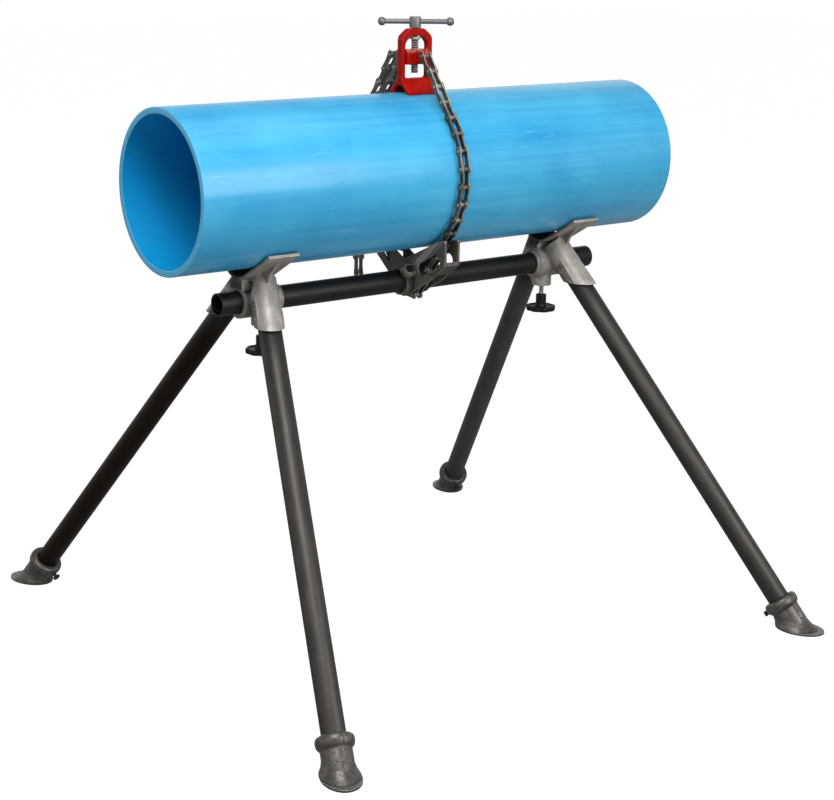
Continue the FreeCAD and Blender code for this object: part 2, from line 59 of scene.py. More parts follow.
class Wire:
    def __init__(self, graph, socket):
        self.graph = graph
        self.socket = socket

    def __add__(self, other):
        return self.graph.calc("ADD", self, other)

    def __radd__(self, other):
        return self.graph.calc("ADD", other, self)

    def __sub__(self, other):
        return self.graph.calc("SUBTRACT", self, other)

    def __rsub__(self, other):
        return self.graph.calc("SUBTRACT", other, self)

    def __mul__(self, other):
        return self.graph.calc("MULTIPLY", self, other)

    def __rmul__(self, other):
        return self.graph.calc("MULTIPLY", other, self)

    def __truediv__(self, other):
        return self.graph.calc("DIVIDE", self, other)

    def __abs__(self):
        return self.graph.calc("ABSOLUTE", self)

    def over(self, other):
        return self.graph.calc("GREATER_THAN", self, other)

    def least(self, other):
        return self.graph.calc("MINIMUM", self, other)

    def most(self, other):
        return self.graph.calc("MAXIMUM", self, other)


class Graph:
    def __init__(self, tree):
        self.tree = tree

    def node(self, kind, settings=None, sockets=None, output=0):
        made = self.tree.nodes.new(kind)
        for key, value in (settings or {}).items():
            if key == "stops":
                ramp = made.color_ramp
                ramp.elements[0].position, ramp.elements[0].color = value[0]
                ramp.elements[-1].position, ramp.elements[-1].color = value[-1]
                for place, colour in value[1:-1]:
                    ramp.elements.new(place).color = colour
            else:
                setattr(made, key, value)
        for key, value in (sockets or {}).items():
            if isinstance(value, Wire):
                self.tree.links.new(value.socket, made.inputs[key])
            else:
                made.inputs[key].default_value = value
        return Wire(self, made.outputs[output])

    def calc(self, operation, *values):
        return self.node("ShaderNodeMath", {"operation": operation}, dict(enumerate(values)))

    def parts(self, vector):
        return [self.node("ShaderNodeSeparateXYZ", {}, {0: vector}, i) for i in range(3)]


def paint(red, green, blue):
    def linear(value):
        value /= 255
        return value / 12.92 if value <= 0.04045 else ((value + 0.055) / 1.055) ** 2.4
    return linear(red), linear(green), linear(blue), 1.0


class Finish(Graph):
    def __init__(self, name, settings, grain=None):
        self.material = bpy.data.materials.new(name)
        self.material.use_nodes = True
        super().__init__(self.material.node_tree)
        self.tree.nodes.clear()
        self.shader = self.tree.nodes.new("ShaderNodeBsdfPrincipled")
        self.surface = self.tree.nodes.new("ShaderNodeOutputMaterial")
        self.tree.links.new(self.shader.outputs[0], self.surface.inputs["Surface"])
        for key, value in settings.items():
            self.shader.inputs[key].default_value = value
        if grain:
            self.where = self.node("ShaderNodeAttribute", {"attribute_name": grain}, {}, "Vector")
        else:
            self.where = self.spot()

    def spot(self):
        return self.node("ShaderNodeTexCoord", {}, {}, "Object")

    def mark(self, name):
        return self.node("ShaderNodeAttribute", {"attribute_name": name}, {}, "Fac")

    def noise(self, scale, detail=4.0, rough=0.55, stretch=None):
        where = self.where
        if stretch:
            where = self.node("ShaderNodeVectorMath", {"operation": "MULTIPLY"}, {0: where, 1: stretch})
        sockets = {"Vector": where, "Scale": scale, "Detail": detail, "Roughness": rough}
        return self.node("ShaderNodeTexNoise", {}, sockets)

    def pits(self, scale):
        return self.node("ShaderNodeTexVoronoi", {}, {"Vector": self.where, "Scale": scale})

    def between(self, value, low, high):
        sockets = {"Value": value, "From Min": low, "From Max": high}
        return self.node("ShaderNodeMapRange", {"interpolation_type": "SMOOTHSTEP"}, sockets)

    def mixed(self, factor, first, second):
        return self.node("ShaderNodeMix", {"data_type": "RGBA"}, {0: factor, 6: first, 7: second}, 2)

    def ramp(self, factor, *stops):
        return self.node("ShaderNodeValToRGB", {"stops": stops}, {0: factor})

    def ridges(self):
        return self.node("ShaderNodeNewGeometry", {}, {}, "Pointiness")

    def feed(self, **wires):
        for key, wire in wires.items():
            socket = self.shader.inputs[key.replace("_", " ")]
            self.tree.links.new(wire.socket, socket)

    def bump(self, height, depth, strength=1.0):
        sockets = {"Strength": strength, "Distance": depth, "Height": height}
        self.feed(Normal=self.node("ShaderNodeBump", {}, sockets))


print("finishes")

pipeLook = {
    "deep": (38, 146, 198), "light": (80, 184, 225), "scuff": (146, 204, 228), "bore": (4, 150, 214),
    "endLight": (92, 180, 220), "boreSquare": (0.0242, 0.0239), "endLightFrom": (0.6188, 0.6194), "middle": 3.0,
}


def pipePlastic():
    f = Finish("pipeBluePlastic", {"Specular IOR Level": 0.3, "Coat Roughness": 0.12}, "grain")
    streaks = f.noise(70, 3, stretch=(1, 1, 0.03))
    clouds = f.noise(5, 3)
    tone = streaks * 0.35 + clouds * 0.65
    base = f.ramp(tone, (0.3, paint(*pipeLook["deep"])), (0.7, paint(*pipeLook["light"])))
    rubs = f.between(f.noise(260, 2, stretch=(1, 1, 0.05)), 0.62, 0.72) * f.between(f.noise(9, 2), 0.56, 0.7)
    nicks = f.between(f.noise(420, 2, stretch=(1, 0.2, 1)), 0.7, 0.76) * f.between(f.noise(14, 2), 0.6, 0.7)
    worn = (rubs * 0.55 + nicks * 0.5).least(1.0)
    x, y, z = f.parts(f.where)
    # painted bounce light: the bore is a deeper, more saturated blue, for the light bouncing inside the blue
    # pipe
    bore = f.between(x * x + y * y, *pipeLook["boreSquare"])
    base = f.mixed(bore * (0.75 + clouds * 0.3), base, paint(*pipeLook["bore"]))
    # painted light: the pipe's end faces are painted a lighter blue, as if more light fell on them
    endLight = f.between(abs(z - pipeLook["middle"]), *pipeLook["endLightFrom"])
    base = f.mixed(endLight * 0.85, base, paint(*pipeLook["endLight"]))
    f.feed(Base_Color=f.mixed(worn, base, paint(*pipeLook["scuff"])))
    f.feed(Roughness=0.26 + clouds * 0.1 + worn * 0.25, Coat_Weight=(0.16 - worn * 0.16) * (1 - bore))
    f.bump(streaks * 0.6 + f.noise(18, 2) * 0.8 - worn * 0.4, 0.00035, 0.35)
    return f.material


tubeLook = {
    "dark": (13, 12, 13), "mid": (28, 26, 25), "brown": (42, 32, 25), "scrape": (110, 106, 101),
    "leg": (94, 91, 87), "shadedLeg": (44, 34, 27), "underRail": (0.73, 0.66),
}


def tubeBlack():
    f = Finish("tubeBlackIron", {"Specular IOR Level": 0.28}, "grain")
    scale = f.noise(45, 6, 0.65, stretch=(1, 1, 0.35))
    fine = f.noise(400, 3, 0.6, stretch=(1, 1, 0.25))
    brown = f.between(f.noise(11, 4, 0.6, stretch=(1, 1, 0.4)), 0.5, 0.68)
    base = f.ramp(scale, (0.3, paint(*tubeLook["dark"])), (0.7, paint(*tubeLook["mid"])))
    base = f.mixed(brown * 0.55, base, paint(*tubeLook["brown"]))
    x, y, z = f.parts(f.spot())
    legs = f.between(z, *tubeLook["underRail"])
    front = f.between(y, 0.0, -0.05)
    shadedLeg = f.between(x, -0.2, -0.3) * f.between(y, 0.0, 0.06)  # painted shade: the left rear leg is darkened, as it turns away from the lamps
    # painted sheen: the legs below the rail are painted a lighter speckled grey than the rail, and the front
    # legs get more metal, for the highlights they show
    rubbed = legs * (1 - shadedLeg) * (0.3 + scale * 0.5 - front * 0.04)
    base = f.mixed(rubbed, base, paint(*tubeLook["leg"]))
    base = f.mixed(shadedLeg * legs * 0.7, base, paint(*tubeLook["shadedLeg"]))
    lines = f.noise(320, 2, stretch=(1, 1, 0.02))
    scraped = f.between(lines, 0.66, 0.74) * f.between(f.noise(16, 3), 0.52, 0.66)
    flecks = f.between(f.noise(900, 2), 0.68, 0.76) * f.between(f.noise(30, 3), 0.5, 0.62)
    marks = (scraped * 0.7 + flecks * 0.5).least(1.0)
    f.feed(Base_Color=f.mixed(marks, base, paint(*tubeLook["scrape"])))
    f.feed(Metallic=legs * (0.2 + (shadedLeg + front) * 0.7))
    f.feed(Roughness=0.4 + scale * 0.16 - marks * 0.1)
    f.bump(scale * 0.7 + fine * 0.5 - marks * 0.3, 0.0005, 0.5)
    return f.material


headLook = {
    "low": (138, 132, 125), "high": (182, 176, 168), "grimeAndShade": (60, 53, 45), "bare": (236, 232, 226),
    "soot": (24, 20, 17),
}


def castSilver():
    f = Finish("castSilverPaint", {"Specular IOR Level": 0.4})
    flank, soot = f.mark("flank"), f.mark("soot")
    blotch = f.noise(28, 5, 0.6)
    sand = f.noise(520, 4, 0.65)
    pits = f.between(f.pits(230), 0.1, 0.42)
    rough = f.between(f.noise(19, 3), 0.47, 0.6)
    ridge = f.ridges()
    base = f.ramp(blotch, (0.28, paint(*headLook["low"])), (0.68, paint(*headLook["high"])))
    # partly grime in the pits, partly painted shade: hollows found by pointiness and the pitted flanks beside
    # the seams are darkened
    hollow = f.between(ridge, 0.49, 0.41).most((1 - pits) * rough * 0.45)
    hollow = hollow.most(flank * f.between(f.noise(330, 3, 0.6), 0.38, 0.56))
    base = f.mixed(hollow * 0.85, base, paint(*headLook["grimeAndShade"]))
    # worn paint on the convex edges, partly a painted highlight along them
    edge = f.between(ridge, 0.53, 0.6) * f.between(sand + blotch, 0.85, 1.1)
    base = f.mixed(edge * 0.8, base, paint(*headLook["bare"]))
    # painted shade: the attribute read here darkens the V under the pipe, the neck, the pockets, the end
    # faces and the hub
    f.feed(Base_Color=f.mixed(soot * 0.96, base, paint(*headLook["soot"])), Metallic=0.3 - soot * 0.3)
    f.feed(Roughness=0.4 + rough * 0.1 + (1 - pits) * 0.08 - edge * 0.12 + (flank + soot) * 0.3)
    f.bump(sand * 0.2 + pits * rough * 0.6 + f.noise(75, 3) * 0.4 + flank * sand * 1.2, 0.0011, 0.5)
    return f.material


anchorLook = {
    "low": (52, 48, 42), "high": (90, 85, 77), "grimeAndShade": (30, 27, 24), "bare": (206, 202, 194),
    "litBossRib": (132, 127, 118), "bossAt": (-0.0255, -0.0375, 0.795), "bossRise": 43,
}


def castGrey():
    f = Finish("castGreyIron", {"Specular IOR Level": 0.5, "Metallic": 0.35})
    blotch = f.noise(32, 5, 0.62)
    sand = f.noise(600, 4, 0.65)
    ridge = f.ridges()
    base = f.ramp(blotch, (0.3, paint(*anchorLook["low"])), (0.68, paint(*anchorLook["high"])))
    # painted shade: hollows found by pointiness are darkened, as occlusion would darken them
    base = f.mixed(f.between(ridge, 0.5, 0.43) * 0.8, base, paint(*anchorLook["grimeAndShade"]))
    x, y, z = f.parts(f.where)
    at, rise = anchorLook["bossAt"], math.radians(anchorLook["bossRise"])
    wide = x - at[0]
    high = (y - at[1]) * math.sin(rise) + (z - at[2]) * math.cos(rise)
    away = wide * wide + high * high  # squared distance from the set screw's axis
    # painted highlight: the boss and the rib are painted lighter, and the boss's face ring is lightened below
    ring = f.between(away, 0.00019, 0.00013) * f.between(z - y, 0.812, 0.819)
    boss = f.between(away, 0.00052, 0.00034) * f.between(z - y, 0.802, 0.808)
    rib = f.between(abs(wide), 0.012, 0.009) * f.between(z, 0.786, 0.78) * f.between(y, -0.036, -0.044)
    base = f.mixed(boss.most(rib) * 0.5, base, paint(*anchorLook["litBossRib"]))
    # partly worn edges, partly painted highlight along the edges and on the boss's face ring
    edge = (f.between(ridge, 0.522, 0.565) * f.between(sand + blotch, 0.72, 0.95)).most(ring * 0.55)
    f.feed(Base_Color=f.mixed(edge * 0.9, base, paint(*anchorLook["bare"])))
    f.feed(Roughness=0.46 + blotch * 0.14 - edge * 0.16)
    f.bump(sand * 0.35 + f.between(f.pits(260), 0.05, 0.4) * 0.4 + f.noise(90, 3) * 0.5, 0.0009, 0.5)
    return f.material


footLook = {
    "low": (54, 50, 46), "high": (100, 96, 92), "rust": (66, 53, 43), "bare": (210, 207, 202),
    "hollow": (46, 43, 40), "rim": (34, 31, 28),
}


def castFoot():
    f = Finish("castFootIron", {"Specular IOR Level": 0.7, "Metallic": 0.5})
    blotch = f.noise(55, 6, 0.68)
    sand = f.noise(420, 4, 0.7)
    pits = f.between(f.pits(170), 0.08, 0.4)
    ridge = f.ridges()
    tone = blotch * 0.8 + sand * 0.2
    base = f.ramp(tone, (0.32, paint(*footLook["low"])), (0.66, paint(*footLook["high"])))
    base = f.mixed(f.between(f.noise(24, 4), 0.58, 0.72) * 0.5, base, paint(*footLook["rust"]))
    # painted shade: hollows found by pointiness are darkened, as occlusion would darken them
    base = f.mixed(f.between(ridge, 0.5, 0.43) * 0.75, base, paint(*footLook["hollow"]))
    height = f.parts(f.where)[2]
    # painted highlight: a bright line round the sole's lip
    lipHighlight = f.between(height, 0.0054, 0.0048) * f.between(height, 0.0042, 0.0047)
    edge = (f.between(ridge, 0.525, 0.58) * 0.8).most(lipHighlight * f.between(sand, 0.36, 0.55) * 0.45)
    seam = f.mark("seam")
    # painted shade: the low band of the sole is darkened; the seam groove is a dark joint
    rim = f.between(height, 0.0074, 0.0056)
    base = f.mixed(rim.most(seam) * 0.6, base, paint(*footLook["rim"]))
    f.feed(Base_Color=f.mixed(edge * (1 - seam), base, paint(*footLook["bare"])))
    f.feed(Roughness=0.29 + blotch * 0.14 - edge * 0.06)
    f.bump(sand * 0.4 + pits * 0.7 + f.noise(60, 3) * 0.8, 0.0008, 0.5)
    return f.material


def darkIron(name, dark, light, metal, rough, gloss=0.3):
    f = Finish(name, {"Specular IOR Level": gloss, "Metallic": metal})
    blotch = f.noise(160, 4, 0.6)
    scratch = f.between(f.noise(900, 2, stretch=(0.2, 1, 1)), 0.64, 0.74)
    base = f.ramp(blotch, (0.3, paint(*dark)), (0.7, paint(*light)))
    f.feed(Base_Color=f.mixed(scratch * 0.3, base, paint(*[min(v + 60, 255) for v in light])))
    f.feed(Roughness=rough + blotch * 0.15 - scratch * 0.06)
    f.bump(blotch + scratch * -0.3, 0.0003, 0.4)
    return f.material


def brightSteel(name, dark, light, metal, rough, grain=None, stretch=(1, 1, 1)):
    f = Finish(name, {"Specular IOR Level": 0.5, "Metallic": metal}, grain)
    drawn = f.noise(900, 3, 0.6, stretch=stretch)
    cloud = f.noise(60, 4, 0.6)
    base = f.ramp(drawn * 0.5 + cloud * 0.5, (0.33, paint(*dark)), (0.66, paint(*light)))
    stain = f.between(f.noise(150, 4, 0.7), 0.6, 0.72)
    f.feed(Base_Color=f.mixed(stain * 0.45, base, paint(*[v * 0.55 for v in dark])))
    f.feed(Roughness=rough + drawn * 0.12 + stain * 0.15)
    f.bump(drawn, 0.0001, 0.25)
    return f.material


threadLook = {"dark": (122, 120, 120), "light": (182, 180, 178), "oil": (46, 43, 44)}


def threadSteel(name, axis, root, crest):
    f = Finish(name, {"Specular IOR Level": 0.5, "Metallic": 0.6})
    x, y = f.parts(f.where)[:2]
    away = (x - axis) * (x - axis) + y * y
    groove = f.between(away, crest * crest, root * root)
    cloud = f.noise(260, 4, 0.6)
    base = f.ramp(cloud, (0.33, paint(*threadLook["dark"])), (0.66, paint(*threadLook["light"])))
    # painted shade: the thread roots are darkened
    f.feed(Base_Color=f.mixed(groove * 0.8, base, paint(*threadLook["oil"])))
    f.feed(Roughness=0.32 + cloud * 0.12 + groove * 0.2)
    f.bump(cloud, 0.0002, 0.3)
    return f.material


redLook = {
    "deep": (140, 9, 4), "bright": (172, 18, 8), "hollow": (88, 6, 10), "chip": (206, 160, 140),
    "metal": (168, 162, 150),
}


def viseRed(name, worn):
    f = Finish(name, {"Specular IOR Level": 0.1, "Coat Roughness": 0.08})
    flow = f.noise(40, 3)
    sand = f.noise(260, 4, 0.6)
    ridge = f.ridges()
    base = f.ramp(flow, (0.3, paint(*redLook["deep"])), (0.68, paint(*redLook["bright"])))
    # painted shade: hollows found by pointiness are darkened, as occlusion would darken them
    base = f.mixed(f.between(ridge, 0.5, 0.42) * 0.6, base, paint(*redLook["hollow"]))
    rubbed = f.between(ridge, 0.56, 0.66) * f.between(sand, 0.55, 0.66) * 0.4
    y, z = f.parts(f.where)[1:]
    top = f.between(z, 1.2485, 1.2575) * f.between(y, 0.004, -0.006)
    lug = f.between(y, -0.0245, -0.036)
    patch = (top * 0.55).most(lug * 0.7) * worn * f.between(f.noise(140, 4, 0.65), 0.46, 0.62)
    bare = rubbed.most(patch)
    under = f.mixed(f.between(sand, 0.45, 0.6), paint(*redLook["chip"]), paint(*redLook["metal"]))
    f.feed(Base_Color=f.mixed(bare, base, under))
    f.feed(Roughness=0.24 + flow * 0.12 + bare * 0.3, Coat_Weight=0.06 - bare * 0.06)
    f.bump(f.noise(110, 3) * 0.8 + sand * 0.2 - bare * 0.4, 0.0006, 0.4)
    return f.material


linkLook = {"dark": (56, 55, 53), "light": (104, 102, 97), "edge": (168, 165, 154), "oil": (66, 58, 46)}


def linkSteel(name, dark, light, rough):
    f = Finish(name, {"Specular IOR Level": 0.5, "Metallic": 0.6})
    blotch = f.noise(170, 5, 0.65)
    base = f.ramp(blotch * 0.6 + f.mark("tone") * 0.4, (0.28, paint(*dark)), (0.72, paint(*light)))
    oil = f.between(f.noise(60, 4), 0.5, 0.64)
    f.feed(Base_Color=f.mixed(oil * 0.5, base, paint(*linkLook["oil"])))
    f.feed(Roughness=rough + blotch * 0.2 - oil * 0.08)
    f.bump(blotch + f.noise(800, 3) * 0.4, 0.0003, 0.45)
    return f.material


pipePaint = pipePlastic()
tubePaint = tubeBlack()
headPaint = castSilver()
anchorPaint = castGrey()
footPaint = castFoot()
screwPaint = darkIron("screwBlackIron", (26, 25, 25), (52, 50, 48), 0.4, 0.4)
knobPaint = darkIron("knobBlackPlastic", (12, 12, 13), (22, 22, 24), 0.0, 0.36, 0.2)
studPaint = brightSteel("studZinc", (150, 150, 150), (205, 206, 208), 0.75, 0.24)
yokePaint = viseRed("yokeRedPaint", 0.0)
nutPaint = viseRed("nutRedPaint", 1.0)
spindlePaint = threadSteel("spindleSteel", 0.0045, 0.0066, 0.0078)
teePaint = brightSteel("teeBarZinc", (96, 96, 97), (124, 124, 126), 0.5, 0.34, "grain", (1, 1, 0.04))
linkPaint = linkSteel("linkDarkSteel", linkLook["dark"], linkLook["light"], 0.36)
linkEdgePaint = linkSteel("linkWornEdge", (104, 101, 93), linkLook["edge"], 0.3)
pinPaint = linkSteel("pinBrightHead", (112, 104, 90), (186, 178, 158), 0.28)


# Mesh helpers

def eased(corners, steps=4):
    count, points = len(corners), []
    for i, (u, v, radius) in enumerate(corners):
        here = Vector((u, v))
        if radius == 0:
            points.append(here)
            continue
        before = (Vector(corners[i - 1][:2]) - here).normalized()
        after = (Vector(corners[(i + 1) % count][:2]) - here).normalized()
        half = before.angle(after) / 2
        centre = here + (before + after).normalized() * (radius / math.sin(half))
        start = here + before * (radius / math.tan(half)) - centre
        finish = here + after * (radius / math.tan(half)) - centre
        sweep = start.angle_signed(finish)
        for k in range(steps + 1):
            points.append(centre + Matrix.Rotation(-sweep * k / steps, 2) @ start)
    return [tuple(p) for p in points]


def turned(bm, profile, base, axis, around=64, first=0.0):
    base, axis = Vector(base) * mm, Vector(axis).normalized()
    turn = axis.to_track_quat("Z", "Y")
    grain = bm.verts.layers.float_vector.get("grain") or bm.verts.layers.float_vector.new("grain")
    rings = []
    for radius, along in profile:
        ring = []
        for k in range(around if radius > 1e-6 else 1):
            angle = 2 * math.pi * k / around + first
            local = Vector((radius * math.cos(angle), radius * math.sin(angle), along)) * mm
            vert = bm.verts.new(base + turn @ local)
            vert[grain] = local + base * 3
            ring.append(vert)
        rings.append(ring)
    pairs = list(zip(rings, rings[1:]))
    if profile[0][0] > 1e-6:
        pairs.append((rings[-1], rings[0]))
    made = []
    for low, high in pairs:
        for k in range(around):
            after = (k + 1) % around
            corners = [low[k % len(low)], low[after % len(low)], high[after % len(high)], high[k % len(high)]]
            made.append(bm.faces.new(list(dict.fromkeys(corners))))
    bmesh.ops.recalc_face_normals(bm, faces=made)


def tubeProfile(outer, inner, start, end, edge=0.9):
    return eased([(inner, start, edge), (outer, start, edge), (outer, end, edge), (inner, end, edge)])


def walled(bm, layers):
    rings = [[bm.verts.new(point) for point in layer] for layer in layers]
    made = [bm.faces.new(rings[0]), bm.faces.new(rings[-1])]
    for low, high in zip(rings, rings[1:]):
        for k in range(len(low)):
            after = (k + 1) % len(low)
            made.append(bm.faces.new([low[k], low[after], high[after], high[k]]))
    bmesh.ops.recalc_face_normals(bm, faces=made)


def linked(thing):
    bpy.context.scene.collection.objects.link(thing)
    return thing


def asPiece(name, bm, material, sharp=38):
    mesh = bpy.data.meshes.new(name)
    bm.to_mesh(mesh)
    bm.free()
    return dressed(name, mesh, material, sharp)


def dressed(name, mesh, material, sharp=38):
    piece = linked(bpy.data.objects.new(name, mesh))
    if material:
        mesh.materials.clear()
        mesh.materials.append(material)
    mesh.shade_smooth()
    if sharp:
        mesh.set_sharp_from_angle(angle=math.radians(sharp))
    return piece


def settled(piece, name):
    bpy.context.view_layer.update()
    result = bpy.data.meshes.new_from_object(piece.evaluated_get(bpy.context.evaluated_depsgraph_get()))
    result.name = name
    bpy.data.objects.remove(piece)
    return result


def onBody(piece, body, slot, *nodes):
    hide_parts(*nodes)
    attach(piece, body)


def cadCopy(*nodes):
    bm = bmesh.new()
    for node in nodes:
        bm.from_mesh(frame["nodes"][node].data)
    bmesh.ops.remove_doubles(bm, verts=bm.verts, dist=2e-6)
    return bm


def sandCast(name, bm, material, cell, passes):
    rough = asPiece(name + "Rough", bm, None)
    skin = rough.modifiers.new("skin", "REMESH")
    skin.mode = "VOXEL"
    skin.voxel_size = cell * mm
    ease = rough.modifiers.new("ease", "SMOOTH")
    ease.factor = 0.5
    ease.iterations = passes
    return dressed(name, settled(rough, name), material, sharp=0)


def held(value, low, high):
    return min(max((value - low) / (high - low), 0.0), 1.0)


def marked(mesh, **marks):
    for name, values in marks.items():
        mesh.attributes.new(name, "FLOAT", "POINT").data.foreach_set("value", values)


def pushed(mesh, moves):
    normals = [vertex.normal.copy() for vertex in mesh.vertices]
    for vertex, normal, move in zip(mesh.vertices, normals, moves):
        vertex.co += normal * (move * mm)


sides = (("Left", "left", -1), ("Right", "right", 1))


# Pipe, rail and legs

print("pipe, rail and legs")

pipeSizes = {"radius": 167.65, "wall": 13.4, "centre": 1000, "half": 620, "edge": 1.2, "around": 192}
railSizes = {"radius": 24.15, "wall": 3.68, "height": 760, "left": -493.5, "right": 521.5, "around": 72}
legSizes = {"root": (413.0, 59.3, 760.0), "lean": (0.2183, 0.5879, -0.7789), "start": -5.4, "end": 944.0}

work = bmesh.new()
start, end = -pipeSizes["half"], pipeSizes["half"]
pipeInner = pipeSizes["radius"] - pipeSizes["wall"]
profile = tubeProfile(pipeSizes["radius"], pipeInner, start, end, pipeSizes["edge"])
turned(work, profile, (0, 0, pipeSizes["centre"]), (1, 0, 0), pipeSizes["around"])
onBody(asPiece("pipeWall", work, pipePaint), "pipe", "pipe_blue", "work_pipe")

tubeInner = railSizes["radius"] - railSizes["wall"]
work = bmesh.new()
profile = tubeProfile(railSizes["radius"], tubeInner, railSizes["left"], railSizes["right"])
turned(work, profile, (0, 0, railSizes["height"]), (1, 0, 0), railSizes["around"])
onBody(asPiece("railTube", work, tubePaint), "rail", "tube_black", "rail")


def legLine(sx, sy):
    mirror = Vector((sx, sy, 1))
    return Vector(legSizes["root"]) * mirror, (Vector(legSizes["lean"]) * mirror).normalized()


for title, side, sx in sides:
    work = bmesh.new()
    for sy in (-1, 1):
        root, lean = legLine(sx, sy)
        profile = tubeProfile(railSizes["radius"], tubeInner, legSizes["start"], legSizes["end"])
        turned(work, profile, root, lean, railSizes["around"])
    onBody(asPiece("legTubes" + title, work, tubePaint), side + "_trestle", "tube_black", "legs_" + side)


# Heads: the solid with its socket flare and parting seams, cast as one skin and pitted beside the seams

print("heads")

headSizes = {
    "bore": 24.7, "socket": 29.4, "flare": 31.8, "flareRun": (8, 62, 90), "mouth": 722,
    "seam": 2.8, "seamHalf": 2.1, "seamRadii": (29.0, 30.6), "seamTop": -14,
    "outer": 54, "outerEnd": 40, "inner": 80, "innerEnd": 44, "pit": 0.6, "cell": 1.35, "passes": 4,
}


def ridgeBar(bm, start, end, out, half, high):
    along = (end - start).normalized()
    wide = along.cross(out).normalized() * half
    ends = []
    for point in (start, end):
        foot = point - out * 2
        ends.append([p * mm for p in (foot - wide, foot + wide, point + out * high)])
    walled(bm, ends)


def levelCut(bm, profile, root, lean, height):
    part = bmesh.new()
    turned(part, profile, root, lean)
    plane = {"plane_co": (0, 0, height * mm), "plane_no": (0, 0, -1), "clear_outer": True}
    bmesh.ops.bisect_plane(part, geom=part.verts[:] + part.edges[:] + part.faces[:], **plane)
    rim = [edge for edge in part.edges if edge.is_boundary]
    bmesh.ops.bridge_loops(part, edges=rim)
    bmesh.ops.recalc_face_normals(part, faces=part.faces)
    cut = bpy.data.meshes.new("levelCut")
    part.to_mesh(cut)
    part.free()
    bm.from_mesh(cut)
    bpy.data.meshes.remove(cut)


def socketFrame(sx, sy):
    root, lean = legLine(sx, sy)
    out = Vector((lean.x, lean.y, 0)).normalized()
    out = (out - lean * out.dot(lean)).normalized()
    outer = lean.cross(out)
    return root, lean, out, outer * math.copysign(1, outer.x * sx)


# Each pair runs from none to full: mm, degrees or, for saddleUp and endFacing, a part of the normal.
# Only relief differs: a scale and a depth for each of its two layers of noise.
headPitsAndShade = {
    "besideSeam": (3, 8), "nearSocket": (37, 33), "socketTop": (-12, -4),
    "hubRadius": 33, "hubBand": (3, 1.5), "hubInside": (412, 420), "hubOutside": (443, 440),
    "hubFlank": (17, 22),
    "saddleUp": (0.1, 0.35), "saddleDepth": (3.2, 1.4), "saddleEnd": (104, 90), "saddleSlope": 30,
    "neckFace": (436, 441), "neckHalf": (20, 17), "neckFoot": (786, 790), "neckTop": (6, 9),
    "pocketInside": (421, 425), "pocketOutside": (445, 442), "pocketNear": (20, 22), "pocketFar": (41, 38),
    "pocketHeight": 795.5, "pocketHalf": (14, 11), "endFacing": (0.5, 0.75), "endFoot": (780, 795),
    "rearHalf": (-16, -4), "hubShadeFrom": (42, 37), "relief": ((0.42, 0.6), (0.21, 0.5)),
    "neckShade": 0.85, "pocketShade": 0.9, "frontShade": 0.3, "rearShade": 0.5, "hubShade": 0.25,
}


# Pits the flanks beside the seams and marks where the painted shade goes
def pittedAndShaded(piece, sx):
    s, w = headSizes, headPitsAndShade
    frames = {sy: socketFrame(sx, sy) for sy in (-1, 1)}
    slope = math.radians(w["saddleSlope"])
    flanks, paintedShades, moves = [], [], []
    for vertex in piece.data.vertices:
        spot = vertex.co / mm
        root, lean, out, outer = frames[-1 if spot.y < 0 else 1]
        arm = spot - root
        along = arm.dot(lean)
        angle = math.degrees(math.atan2(arm.dot(outer), arm.dot(out)))
        beyond = max(angle - s["outer"], -angle - s["inner"])
        socket = held(beyond, *w["besideSeam"]) * held((arm - lean * along).length, *w["nearSocket"])
        x, y = spot.x * sx, abs(spot.y)
        hub = math.hypot(spot.y, spot.z - railSizes["height"])
        band = held(abs(hub - w["hubRadius"]), *w["hubBand"]) * held(y, *w["hubFlank"])
        band *= held(x, *w["hubInside"]) * held(x, *w["hubOutside"])
        flank = max(socket * held(along, *w["socketTop"]), band)
        relief = sum(noise.noise(spot * scale) * depth for scale, depth in w["relief"])
        flanks.append(flank)
        moves.append(relief * s["pit"] * flank)
        # painted shade: the up-facing faces of the V under the pipe are darkened
        under = (pipeSizes["centre"] - spot.z) * math.cos(slope) + y * math.sin(slope) - pipeSizes["radius"]
        saddle = held(vertex.normal.z, *w["saddleUp"]) * held(under, *w["saddleDepth"])
        saddle *= held(y, *w["saddleEnd"])
        # painted shade: the neck's outer end face below the pipe is darkened
        neck = held(x, *w["neckFace"]) * held(y, *w["neckHalf"]) * held(spot.z, *w["neckFoot"])
        # painted shade: the pockets between the neck and the sockets are darkened
        pocket = held(x, *w["pocketInside"]) * held(x, *w["pocketOutside"])
        pocket *= held(y, *w["pocketNear"]) * held(y, *w["pocketFar"])
        pocket *= held(abs(spot.z - w["pocketHeight"]), *w["pocketHalf"])
        # painted shade: the end faces are darkened, more on the rear half
        ends = held(abs(vertex.normal.x), *w["endFacing"]) * held(spot.z, *w["endFoot"])
        ends *= w["frontShade"] + w["rearShade"] * held(spot.y, *w["rearHalf"])
        neck *= held(under, *w["neckTop"]) * w["neckShade"]
        # painted shade: the hub under the pipe is darkened
        hubShade = held(hub, *w["hubShadeFrom"]) * w["hubShade"]
        paintedShades.append(max(saddle, neck, pocket * w["pocketShade"], ends, hubShade))
    pushed(piece.data, moves)
    marked(piece.data, flank=flanks, soot=paintedShades)


